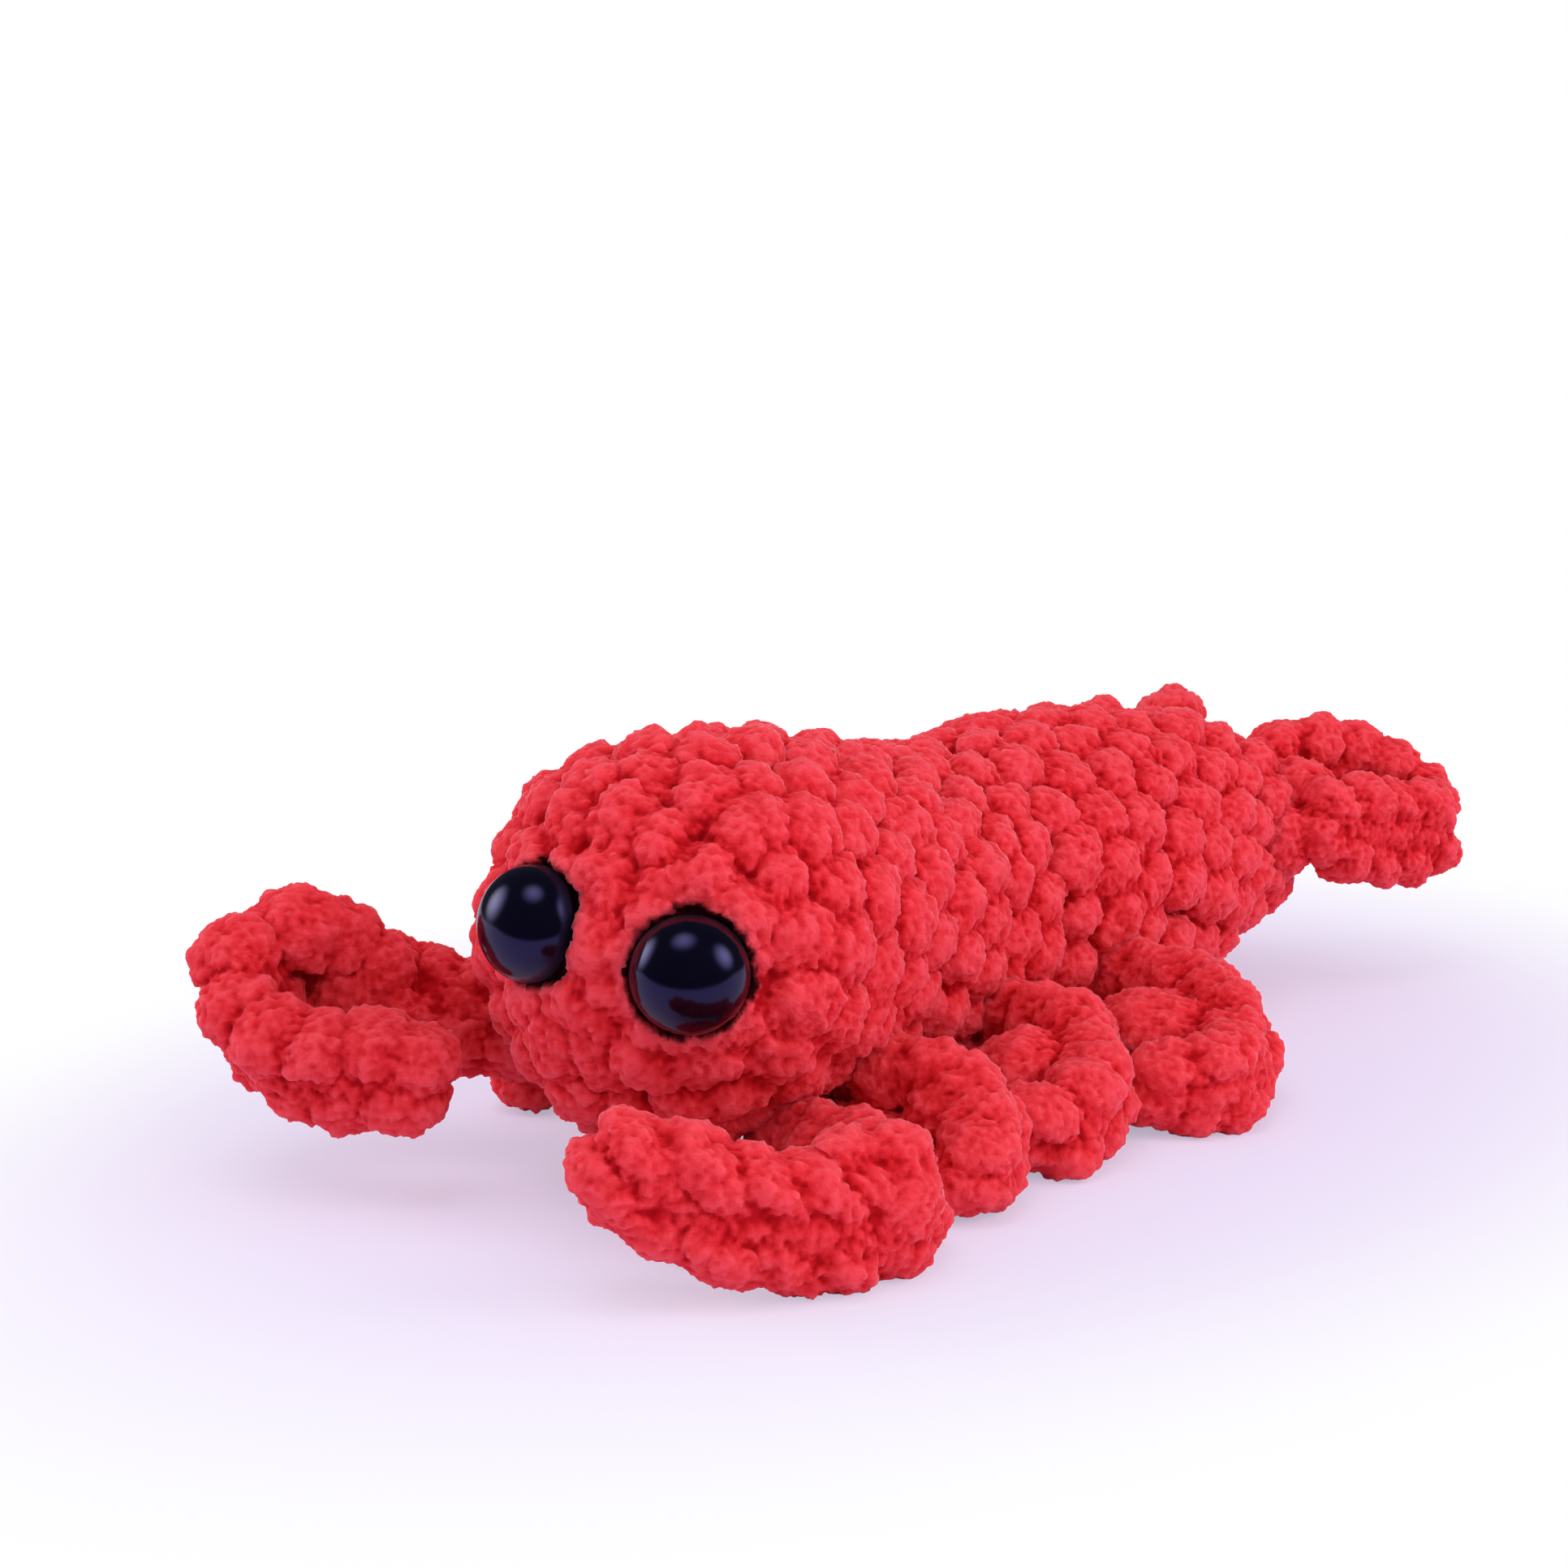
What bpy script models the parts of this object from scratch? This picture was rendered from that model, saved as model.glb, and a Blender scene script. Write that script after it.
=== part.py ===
"""Crochet lobster plush, put together as its maker would do it.

A stuffed tube of chenille crochet is the head and body. Two curled claws, six
curled legs and two tail fins are crocheted as strips and sewn on. Two plastic
safety eyes go through the cover and are locked inside by snap washers.

The lobster looks towards -Y and its left side is +X. The floor is at z = 0.
Sizes below are millimetres and degrees, and the model is built in metres.
"""

import math

import bmesh
import bpy
from mathutils import Matrix, Vector

MM = 0.001

# Body tube: distance between the head's and the tail's centres, and how far the
# lobster turns its head to its left
BODY_SPAN = 119.0
HEAD_TURN = 9.5

# Radius of the stuffed tube, and the gap under it, from head to tail. A gap
# below zero is a belly pressed flat on the floor
HEAD_RADIUS = 22.0
HEAD_LIFT = 5.5
CROWN_RADIUS = 21.5
CROWN_LIFT = 4.6
NECK_RADIUS = 19.8
NECK_LIFT = 1.8
BELLY_RADIUS = 21.3
BELLY_LIFT = -0.5
RUMP_RADIUS = 20.2
RUMP_LIFT = 0.5
TAIL_RADIUS = 15.5
TAIL_LIFT = 5.8
TAIL_TIP_LENGTH = 11.0

# Thickness of the crocheted cover, and the air left between touching pieces
COVER_THICKNESS = 4.0
SEAT_GAP = 0.3

# Safety eye: dome, stem with snap ridges, and the washer behind the cover
EYE_DIAMETER = 12.0
EYE_DOME_HEIGHT = 5.2
EYE_RIM_HEIGHT = 0.7
EYE_SINK = 1.5
FACE_TURN = 13.8
EYE_SPREAD = 24.2
EYE_RAISE_LEFT = 2.0
EYE_RAISE_RIGHT = 12.0
STEM_DIAMETER = 3.4
STEM_RIDGE_DEPTH = 0.35
STEM_RIDGE_PITCH = 1.5
STEM_RIDGES = 6
STEM_POINT_LENGTH = 1.6
WASHER_DIAMETER = 11.0
WASHER_THICKNESS = 1.0
WASHER_HUB_DIAMETER = 7.0
WASHER_HUB_HEIGHT = 1.4
WASHER_SLOT_WIDTH = 0.8
WASHER_SLOTS = 4

# Crocheted strips, two stitches wide: breadth and thickness
LEG_BREADTH = 11.5
LEG_THICKNESS = 8.5
CLAW_BREADTH = 13.0
CLAW_THICKNESS = 9.5
FIN_BREADTH = 15.0
FIN_THICKNESS = 8.5

# Each leg: where it leaves the body behind the head's centre, how far it reaches
# out from the flank, and how far it curls forward
LEG_FRONT = (13.5, 10.5, 11.0)
LEG_MIDDLE = (45.0, 15.0, 24.0)
LEG_REAR = (72.5, 21.5, 25.2)
LEG_ROOT_HEIGHT = 11.5

# The right legs are sewn on this much farther back than the left ones
RIGHT_LEG_SHIFT = 12.0

# Facets
BODY_SIDES = 30
COVER_INSIDE_SIDES = 28
BODY_RINGS = 18
CAP_RINGS = 6
STRIP_SIDES = 14
STRIP_RINGS = 20
EYE_SIDES = 24

RED_YARN = (0.70, 0.017, 0.025, 1.0)
FIBRE_WHITE = (0.80, 0.80, 0.78, 1.0)
EYE_BLACK = (0.004, 0.004, 0.012, 1.0)
WASHER_WHITE = (0.75, 0.75, 0.73, 1.0)


def clear_scene():
    for old in list(bpy.data.objects):
        bpy.data.objects.remove(old, do_unlink=True)


def make_material(name, colour, roughness, sheen=0.0):
    material = bpy.data.materials.new(name)
    material.use_nodes = True
    shader = material.node_tree.nodes["Principled BSDF"]
    shader.inputs["Base Color"].default_value = colour
    shader.inputs["Roughness"].default_value = roughness
    shader.inputs["Metallic"].default_value = 0.0
    shader.inputs["Sheen Weight"].default_value = sheen
    return material


def add_mesh(name, mesh_builder, material):
    """Turn a finished bmesh, in millimetres, into a named object in metres."""
    bmesh.ops.recalc_face_normals(mesh_builder, faces=mesh_builder.faces)
    bmesh.ops.scale(mesh_builder, vec=(MM, MM, MM), verts=mesh_builder.verts)
    mesh = bpy.data.meshes.new(name)
    mesh_builder.to_mesh(mesh)
    mesh_builder.free()
    mesh.shade_smooth()
    mesh.materials.append(material)
    piece = bpy.data.objects.new(name, mesh)
    bpy.context.collection.objects.link(piece)
    return piece


def smooth_value(knots, t):
    """Value at t of the smooth curve through (place, value) knots."""
    index = 0
    while index < len(knots) - 2 and t > knots[index + 1][0]:
        index += 1
    before = knots[max(index - 1, 0)]
    start = knots[index]
    end = knots[index + 1]
    after = knots[min(index + 2, len(knots) - 1)]
    width = end[0] - start[0]
    u = (t - start[0]) / width
    slope_start = (end[1] - before[1]) * (width / (end[0] - before[0]))
    slope_end = (after[1] - start[1]) * (width / (after[0] - start[0]))
    h00 = 2 * u**3 - 3 * u**2 + 1
    h10 = u**3 - 2 * u**2 + u
    h01 = -2 * u**3 + 3 * u**2
    h11 = u**3 - u**2
    return start[1] * h00 + slope_start * h10 + end[1] * h01 + slope_end * h11


# The spine: an arc seen from above, with the tube's radius along it


def body_radius(place):
    """Radius of the stuffed tube at a distance behind the head's centre."""
    return smooth_value([
        (0.0, HEAD_RADIUS),
        (0.14 * BODY_SPAN, CROWN_RADIUS),
        (0.41 * BODY_SPAN, NECK_RADIUS),
        (0.66 * BODY_SPAN, BELLY_RADIUS),
        (0.84 * BODY_SPAN, RUMP_RADIUS),
        (BODY_SPAN, TAIL_RADIUS),
    ], place)


def body_lift(place):
    """Gap between the floor and the underside of the round tube."""
    return smooth_value([
        (0.0, HEAD_LIFT),
        (0.14 * BODY_SPAN, CROWN_LIFT),
        (0.41 * BODY_SPAN, NECK_LIFT),
        (0.66 * BODY_SPAN, BELLY_LIFT),
        (0.84 * BODY_SPAN, RUMP_LIFT),
        (BODY_SPAN, TAIL_LIFT),
    ], place)


def spine_heading(place):
    """Angle of the spine to +Y, seen from above: the head turns to its left."""
    return math.radians(HEAD_TURN) * (1.0 - 2.0 * place / BODY_SPAN)


def spine_point(place):
    """Centre of the tube at a distance behind the head's centre."""
    arc_radius = BODY_SPAN / (2.0 * math.radians(HEAD_TURN))
    start = spine_heading(0.0)
    here = spine_heading(place)
    x = arc_radius * (math.cos(start) - math.cos(here))
    y = arc_radius * (math.sin(start) - math.sin(here))
    return Vector((x, y, body_radius(place) + body_lift(place)))


def spine_frame(place):
    """Floor point under the spine, with its side (to the left) and back axes."""
    heading = spine_heading(place)
    origin = spine_point(place)
    origin.z = 0.0
    back = Vector((-math.sin(heading), math.cos(heading), 0.0))
    side = Vector((math.cos(heading), math.sin(heading), 0.0))
    return origin, side, back


def tube_stations(inset):
    """Centre, radius and axes of each ring of the body tube, nose to tail tip."""
    stations = []
    head_radius = HEAD_RADIUS - inset
    for ring in range(1, CAP_RINGS):
        angle = math.radians(90.0 * ring / CAP_RINGS)
        _, side, back = spine_frame(0.0)
        centre = spine_point(0.0) - back * (head_radius * math.cos(angle))
        stations.append((centre, head_radius * math.sin(angle), side))
    for ring in range(BODY_RINGS + 1):
        place = BODY_SPAN * ring / BODY_RINGS
        _, side, _ = spine_frame(place)
        stations.append((spine_point(place), body_radius(place) - inset, side))
    tail_radius = TAIL_RADIUS - inset
    tail_length = TAIL_TIP_LENGTH - inset
    for ring in range(1, CAP_RINGS):
        angle = math.radians(90.0 * ring / CAP_RINGS)
        _, side, back = spine_frame(BODY_SPAN)
        centre = spine_point(BODY_SPAN) + back * (tail_length * math.sin(angle))
        stations.append((centre, tail_radius * math.cos(angle), side))
    return stations


def tube_mesh(inset, sides):
    """Closed stuffed tube, its wall moved in by inset, flat where it meets the floor."""
    builder = bmesh.new()
    rings = []
    for centre, radius, side in tube_stations(inset):
        ring = []
        for step in range(sides):
            angle = 2.0 * math.pi * (step + 0.5) / sides
            point = centre + side * (radius * math.cos(angle))
            point.z = max(point.z + radius * math.sin(angle), inset)
            ring.append(builder.verts.new(point))
        rings.append(ring)
    for first, second in zip(rings, rings[1:]):
        for step in range(sides):
            after = (step + 1) % sides
            builder.faces.new((first[step], first[after], second[after], second[step]))
    _, _, head_back = spine_frame(0.0)
    nose = builder.verts.new(spine_point(0.0) - head_back * (HEAD_RADIUS - inset))
    _, _, tail_back = spine_frame(BODY_SPAN)
    tip = builder.verts.new(spine_point(BODY_SPAN) + tail_back * (TAIL_TIP_LENGTH - inset))
    for step in range(sides):
        after = (step + 1) % sides
        builder.faces.new((nose, rings[0][after], rings[0][step]))
        builder.faces.new((tip, rings[-1][step], rings[-1][after]))
    return builder


# Turned pieces of the safety eye


def turned_mesh(profile, sides):
    """Solid of revolution about Z from (radius, height) points, first and last on the axis."""
    builder = bmesh.new()
    rings = []
    for radius, height in profile[1:-1]:
        ring = []
        for step in range(sides):
            angle = 2.0 * math.pi * step / sides
            ring.append(builder.verts.new((radius * math.cos(angle), radius * math.sin(angle), height)))
        rings.append(ring)
    for first, second in zip(rings, rings[1:]):
        for step in range(sides):
            after = (step + 1) % sides
            builder.faces.new((first[step], first[after], second[after], second[step]))
    top = builder.verts.new((0.0, 0.0, profile[0][1]))
    bottom = builder.verts.new((0.0, 0.0, profile[-1][1]))
    for step in range(sides):
        after = (step + 1) % sides
        builder.faces.new((top, rings[0][step], rings[0][after]))
        builder.faces.new((bottom, rings[-1][after], rings[-1][step]))
    return builder


def eye_matrix(side_sign, raise_angle):
    """Places a turned piece on the head: its Z axis looks out of the eye."""
    turn = math.radians(FACE_TURN + side_sign * EYE_SPREAD)
    lift = math.radians(raise_angle)
    outward = Vector((math.sin(turn) * math.cos(lift), -math.cos(turn) * math.cos(lift), math.sin(lift)))
    seat = spine_point(0.0) + outward * (HEAD_RADIUS - EYE_SINK)
    rotation = outward.to_track_quat("Z", "Y").to_matrix().to_4x4()
    return Matrix.Translation(seat) @ rotation


def stem_reach():
    """Length of the stem behind the dome."""
    return STEM_RIDGES * STEM_RIDGE_PITCH + STEM_POINT_LENGTH + COVER_THICKNESS - EYE_SINK


def washer_face_depth():
    """Depth of the washer's front face below the dome's seat, clear of the round inner wall."""
    inner = (HEAD_RADIUS - COVER_THICKNESS) * math.cos(math.radians(45.0 / CAP_RINGS))
    washer_radius = WASHER_DIAMETER / 2.0
    return HEAD_RADIUS - EYE_SINK - (math.sqrt(inner**2 - washer_radius**2) - SEAT_GAP)


def make_eye(name, place, material):
    """Domed button with a ridged stem, one moulding."""
    radius = EYE_DIAMETER / 2.0
    profile = [(0.0, SEAT_GAP + EYE_RIM_HEIGHT + EYE_DOME_HEIGHT)]
    dome_steps = 7
    for step in range(1, dome_steps + 1):
        angle = math.radians(90.0 * step / dome_steps)
        height = SEAT_GAP + EYE_RIM_HEIGHT + EYE_DOME_HEIGHT * math.cos(angle)
        profile.append((radius * math.sin(angle), height))
    profile.append((radius, SEAT_GAP))
    stem_radius = STEM_DIAMETER / 2.0
    profile.append((stem_radius, SEAT_GAP))
    ridge_start = -(stem_reach() - STEM_POINT_LENGTH - STEM_RIDGES * STEM_RIDGE_PITCH)
    for ridge in range(STEM_RIDGES):
        top = ridge_start - ridge * STEM_RIDGE_PITCH
        profile.append((stem_radius, top))
        profile.append((stem_radius + STEM_RIDGE_DEPTH, top - 0.15 * STEM_RIDGE_PITCH))
        profile.append((stem_radius, top - 0.85 * STEM_RIDGE_PITCH))
    profile.append((stem_radius, -(stem_reach() - STEM_POINT_LENGTH)))
    profile.append((0.35 * stem_radius, -stem_reach()))
    profile.append((0.0, -stem_reach()))
    builder = turned_mesh(profile, EYE_SIDES)
    bmesh.ops.transform(builder, matrix=place, verts=builder.verts)
    eye = add_mesh(name, builder, material)
    eye.data.set_sharp_from_angle(angle=math.radians(40.0))
    return eye


def ring_mesh(inner_radius, profile, sides):
    """Closed ring about Z: the wall runs through (radius, height) points and a straight bore."""
    builder = bmesh.new()
    outline = list(profile)
    outline.append((inner_radius, profile[-1][1]))
    outline.append((inner_radius, profile[0][1]))
    rings = []
    for radius, height in outline:
        ring = []
        for step in range(sides):
            angle = 2.0 * math.pi * step / sides
            ring.append(builder.verts.new((radius * math.cos(angle), radius * math.sin(angle), height)))
        rings.append(ring)
    for index, first in enumerate(rings):
        second = rings[(index + 1) % len(rings)]
        for step in range(sides):
            after = (step + 1) % sides
            builder.faces.new((first[step], first[after], second[after], second[step]))
    return builder


def make_washer(name, place, material):
    """Snap washer: a flat disc with a slotted hub that grips the stem's ridges."""
    front = -washer_face_depth()
    bore = STEM_DIAMETER / 2.0 + STEM_RIDGE_DEPTH + SEAT_GAP
    hub_radius = WASHER_HUB_DIAMETER / 2.0
    back = front - WASHER_THICKNESS
    hub_back = back - WASHER_HUB_HEIGHT
    profile = [
        (WASHER_DIAMETER / 2.0, front),
        (WASHER_DIAMETER / 2.0, back),
        (hub_radius, back),
        (0.8 * hub_radius, hub_back),
    ]
    washer = add_mesh(name, placed(ring_mesh(bore, profile, EYE_SIDES), place), material)
    washer.data.set_sharp_from_angle(angle=math.radians(40.0))
    slots = bmesh.new()
    for slot in range(WASHER_SLOTS // 2):
        turn = Matrix.Rotation(math.pi * slot / (WASHER_SLOTS // 2), 4, "Z")
        size = Matrix.Diagonal((1.6 * WASHER_HUB_DIAMETER, WASHER_SLOT_WIDTH, WASHER_HUB_HEIGHT, 1.0))
        middle = Matrix.Translation((0.0, 0.0, hub_back))
        bmesh.ops.create_cube(slots, size=1.0, matrix=place @ middle @ turn @ size)
    cut(washer, "washer_slots_" + name, slots)
    return washer


def placed(builder, matrix):
    bmesh.ops.transform(builder, matrix=matrix, verts=builder.verts)
    return builder


def cylinder_mesh(radius, low, high, sides):
    """Plain closed cylinder about Z."""
    builder = bmesh.new()
    middle = Matrix.Translation((0.0, 0.0, (low + high) / 2.0))
    bmesh.ops.create_cone(builder, cap_ends=True, segments=sides, radius1=radius, radius2=radius,
                          depth=high - low, matrix=middle)
    return builder


def cut(piece, name, builder):
    """Take a cutter, in millimetres, away from a piece and leave the cutter hidden."""
    cutter = add_mesh(name, builder, piece.data.materials[0])
    cutter.hide_render = True
    cutter.display_type = "WIRE"
    modifier = piece.modifiers.new(name, "BOOLEAN")
    modifier.operation = "DIFFERENCE"
    modifier.solver = "EXACT"
    modifier.object = cutter
    return cutter


# Crocheted strips


def curve_point(points, t):
    """Point of the smooth curve through the points, t from 0 to 1."""
    last = len(points) - 1
    place = t * last
    return Vector([
        smooth_value([(float(i), p[axis]) for i, p in enumerate(points)], place)
        for axis in range(3)
    ])


def strip_mesh(points, faces_out, breadth, thickness):
    """Curled strip with round ends: faces_out is the way its broad face looks, root to tip."""
    builder = bmesh.new()
    rings = []
    length = sum((b - a).length for a, b in zip(points, points[1:]))
    end_share = 0.5 * breadth / length
    for index in range(STRIP_RINGS):
        t = 0.5 - 0.5 * math.cos(math.pi * (index + 0.5) / STRIP_RINGS)
        centre = curve_point(points, t)
        ahead = curve_point(points, min(t + 0.01, 1.0))
        behind = curve_point(points, max(t - 0.01, 0.0))
        along = (ahead - behind).normalized()
        face = curve_point(faces_out, t)
        face = (face - along * face.dot(along)).normalized()
        across = along.cross(face)
        to_end = min(t, 1.0 - t) / end_share
        taper = math.sqrt(1.0 - (1.0 - min(to_end, 1.0)) ** 2)
        ring = []
        for step in range(STRIP_SIDES):
            angle = 2.0 * math.pi * (step + 0.5) / STRIP_SIDES
            point = centre + across * (0.5 * breadth * taper * math.cos(angle))
            point = point + face * (0.5 * thickness * taper * math.sin(angle))
            point.z = max(point.z, 0.0)
            ring.append(builder.verts.new(point))
        rings.append(ring)
    for first, second in zip(rings, rings[1:]):
        for step in range(STRIP_SIDES):
            after = (step + 1) % STRIP_SIDES
            builder.faces.new((first[step], first[after], second[after], second[step]))
    for ring in (rings[0], rings[-1]):
        middle = sum((vert.co for vert in ring), Vector()) / STRIP_SIDES
        pole = builder.verts.new(middle)
        for step in range(STRIP_SIDES):
            after = (step + 1) % STRIP_SIDES
            builder.faces.new((pole, ring[step], ring[after]))
    return builder


def local_points(place, side_sign, offsets):
    """Points from (out, back, up) offsets at a place on the spine, mirrored for the right side."""
    origin, side, back = spine_frame(place)
    return [origin + side * (side_sign * out) + back * behind + Vector((0.0, 0.0, up))
            for out, behind, up in offsets]


def local_axes(place, side_sign, directions):
    """Directions from (out, back, up) parts at a place on the spine."""
    _, side, back = spine_frame(place)
    return [side * (side_sign * out) + back * behind + Vector((0.0, 0.0, up))
            for out, behind, up in directions]


def make_strip(name, place, side_sign, offsets, directions, breadth, thickness, material):
    """A sewn-on strip, trimmed to lie against the body."""
    points = local_points(place, side_sign, offsets)
    faces_out = local_axes(place, side_sign, directions)
    strip = add_mesh(name, strip_mesh(points, faces_out, breadth, thickness), material)
    cut(strip, "body_clear_of_" + name, tube_mesh(-SEAT_GAP, BODY_SIDES))
    return strip


def leg_mesh(leg, shift, side_sign, gap):
    """Hooked leg, swollen by a gap: out from the flank, down to the floor and curled forward."""
    place, reach, curl = leg
    place = place + shift
    flank = body_radius(place)
    foot = 0.48 * LEG_BREADTH
    offsets = [
        (flank - 0.5 * LEG_BREADTH - LEG_THICKNESS / 2.0, 0.0, LEG_ROOT_HEIGHT),
        (flank + 0.15 * reach, 0.0, LEG_ROOT_HEIGHT),
        (flank + 0.55 * reach, -0.08 * curl, LEG_ROOT_HEIGHT - 1.5),
        (flank + 0.89 * reach, -0.38 * curl, foot + 1.5),
        (flank + reach, -0.80 * curl, foot),
        (flank + 0.62 * reach, -curl, foot + 0.5),
    ]
    directions = [
        (0.0, 0.5, 1.0),
        (0.4, 0.5, 1.0),
        (0.9, 0.5, 0.7),
        (1.0, 0.0, 0.2),
        (0.8, -0.7, -0.1),
        (0.2, -1.0, -0.3),
    ]
    points = local_points(place, side_sign, offsets)
    faces_out = local_axes(place, side_sign, directions)
    return strip_mesh(points, faces_out, LEG_BREADTH + 2.0 * gap, LEG_THICKNESS + 2.0 * gap)


def make_leg(name, leg, leg_ahead, shift, side_sign, material):
    """A leg trimmed to lie against the body and against the leg ahead of it."""
    strip = add_mesh(name, leg_mesh(leg, shift, side_sign, 0.0), material)
    if leg_ahead is not None:
        cut(strip, "leg_ahead_of_" + name, leg_mesh(leg_ahead, shift, side_sign, SEAT_GAP))
    cut(strip, "body_clear_of_" + name, tube_mesh(-SEAT_GAP, BODY_SIDES))
    return strip


def make_claw_left(material):
    """The claw that lies on the floor and curls in front of the chin."""
    offsets = [
        (10.0, 0.0, 7.0),
        (20.0, -4.0, 6.5),
        (27.5, -9.0, 6.0),
        (30.5, -17.0, 6.0),
        (26.5, -25.5, 7.0),
        (18.0, -33.0, 11.0),
        (9.0, -39.0, 17.0),
    ]
    directions = [
        (0.0, 0.7, 1.0),
        (0.3, 0.8, 0.8),
        (0.8, 0.6, 0.5),
        (1.0, 0.0, 0.2),
        (0.8, -0.6, -0.1),
        (0.6, -0.8, -0.2),
        (0.5, -0.9, 0.0),
    ]
    return make_strip("claw_left", 0.0, 1.0, offsets, directions, CLAW_BREADTH, CLAW_THICKNESS, material)


def make_claw_right(material):
    """The claw that is held up beside the head and curls down and back."""
    offsets = [
        (12.5, 4.0, 15.0),
        (21.0, 0.5, 16.0),
        (27.0, -2.5, 17.0),
        (32.5, -5.0, 18.5),
        (37.5, -8.5, 24.0),
        (41.2, -14.0, 26.0),
        (42.5, -18.5, 24.0),
        (40.5, -22.0, 19.0),
        (34.5, -23.0, 15.5),
        (27.5, -21.0, 14.5),
        (19.0, -17.5, 14.0),
    ]
    directions = [
        (-0.4, -0.9, 0.2),
        (-0.4, -0.9, 0.3),
        (-0.4, -0.8, 0.5),
        (-0.3, -0.4, 0.9),
        (0.1, 0.6, 1.0),
        (0.6, 0.4, 0.9),
        (1.0, 0.0, 0.2),
        (0.8, -0.4, -0.4),
        (-0.1, -0.9, -0.5),
        (-0.4, -0.9, -0.2),
        (-0.4, -0.9, -0.1),
    ]
    return make_strip("claw_right", 0.0, -1.0, offsets, directions, CLAW_BREADTH, CLAW_THICKNESS, material)


def splayed(parts, angle):
    """Turn (out, back, up) parts outwards about the tail by an angle in degrees."""
    cosine = math.cos(math.radians(angle))
    sine = math.sin(math.radians(angle))
    return [(out * cosine + behind * sine, behind * cosine - out * sine, up)
            for out, behind, up in parts]


def make_fin(name, side_sign, lift, splay, material):
    """Looped tail fin: back from the tail's tip, round, and forward again on the outside."""
    offsets = [
        (3.0, 4.0, 28.0 + lift),
        (7.0, 14.0, 29.0 + lift),
        (11.5, 25.0, 27.5 + lift),
        (17.5, 29.5, 23.5 + lift),
        (22.0, 24.5, 21.0 + lift),
        (20.5, 17.0, 21.5 + lift),
        (18.5, 9.0, 22.5 + lift),
        (16.0, 2.5, 24.5 + lift),
    ]
    directions = [
        (-1.0, 0.2, 0.1),
        (-1.0, 0.4, 0.1),
        (-0.7, 0.7, 0.2),
        (0.2, 1.0, 0.0),
        (1.0, 0.3, 0.0),
        (1.0, -0.2, 0.0),
        (1.0, -0.3, 0.0),
        (1.0, -0.4, 0.0),
    ]
    return make_strip(name, BODY_SPAN, side_sign, splayed(offsets, splay), splayed(directions, splay),
                      FIN_BREADTH, FIN_THICKNESS, material)


def make_cover(places, material):
    """Crocheted cover: a closed skin with a pit and a stem hole for each eye."""
    cover = add_mesh("body_cover", tube_mesh(0.0, BODY_SIDES), material)
    cut(cover, "cover_inside", tube_mesh(COVER_THICKNESS, COVER_INSIDE_SIDES))
    for index, place in enumerate(places):
        pit = cylinder_mesh(EYE_DIAMETER / 2.0 + SEAT_GAP, 0.0, EYE_DOME_HEIGHT, EYE_SIDES)
        cut(cover, "eye_pit_%d" % index, placed(pit, place))
        hole = cylinder_mesh(STEM_DIAMETER / 2.0 + STEM_RIDGE_DEPTH + SEAT_GAP, -2.0 * COVER_THICKNESS, 1.0, EYE_SIDES)
        cut(cover, "stem_hole_%d" % index, placed(hole, place))
    return cover


def make_stuffing(places, material):
    """Fibre filling: it fills the cover and gives way to the stems and washers."""
    stuffing = add_mesh("stuffing", tube_mesh(COVER_THICKNESS + SEAT_GAP, COVER_INSIDE_SIDES), material)
    for index, place in enumerate(places):
        pocket_floor = -(washer_face_depth() + WASHER_THICKNESS + WASHER_HUB_HEIGHT + SEAT_GAP)
        pocket = cylinder_mesh(WASHER_DIAMETER / 2.0 + SEAT_GAP, pocket_floor, EYE_DOME_HEIGHT, EYE_SIDES)
        cut(stuffing, "washer_pocket_%d" % index, placed(pocket, place))
        hole = cylinder_mesh(STEM_DIAMETER / 2.0 + STEM_RIDGE_DEPTH + SEAT_GAP, -(stem_reach() + SEAT_GAP), 0.0, EYE_SIDES)
        cut(stuffing, "stem_pocket_%d" % index, placed(hole, place))
    return stuffing


def centre_on_origin():
    """Move everything so that the footprint's middle stands on the origin."""
    corners = [vert.co for piece in bpy.data.objects if not piece.hide_render
               for vert in piece.data.vertices]
    middle_x = (min(co.x for co in corners) + max(co.x for co in corners)) / 2.0
    middle_y = (min(co.y for co in corners) + max(co.y for co in corners)) / 2.0
    for piece in bpy.data.objects:
        piece.data.transform(Matrix.Translation((-middle_x, -middle_y, 0.0)))


def build():
    clear_scene()
    yarn = make_material("red_chenille_yarn", RED_YARN, 0.95, sheen=0.6)
    fibre = make_material("polyester_fibre", FIBRE_WHITE, 0.95)
    black = make_material("black_eye_plastic", EYE_BLACK, 0.08)
    white = make_material("white_washer_plastic", WASHER_WHITE, 0.45)

    left_eye = eye_matrix(1.0, EYE_RAISE_LEFT)
    right_eye = eye_matrix(-1.0, EYE_RAISE_RIGHT)
    make_cover([left_eye, right_eye], yarn)
    make_stuffing([left_eye, right_eye], fibre)
    make_eye("eye_left", left_eye, black)
    make_eye("eye_right", right_eye, black)
    make_washer("eye_washer_left", left_eye, white)
    make_washer("eye_washer_right", right_eye, white)

    make_claw_left(yarn)
    make_claw_right(yarn)
    for side_name, side_sign, shift in (("left", 1.0, 0.0), ("right", -1.0, RIGHT_LEG_SHIFT)):
        make_leg("leg_%s_front" % side_name, LEG_FRONT, None, shift, side_sign, yarn)
        make_leg("leg_%s_middle" % side_name, LEG_MIDDLE, LEG_FRONT, shift, side_sign, yarn)
        make_leg("leg_%s_rear" % side_name, LEG_REAR, LEG_MIDDLE, shift, side_sign, yarn)
    make_fin("tail_fin_left", 1.0, 0.0, 0.0, yarn)
    make_fin("tail_fin_right", -1.0, 2.5, 22.0, yarn)
    centre_on_origin()


build()
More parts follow.
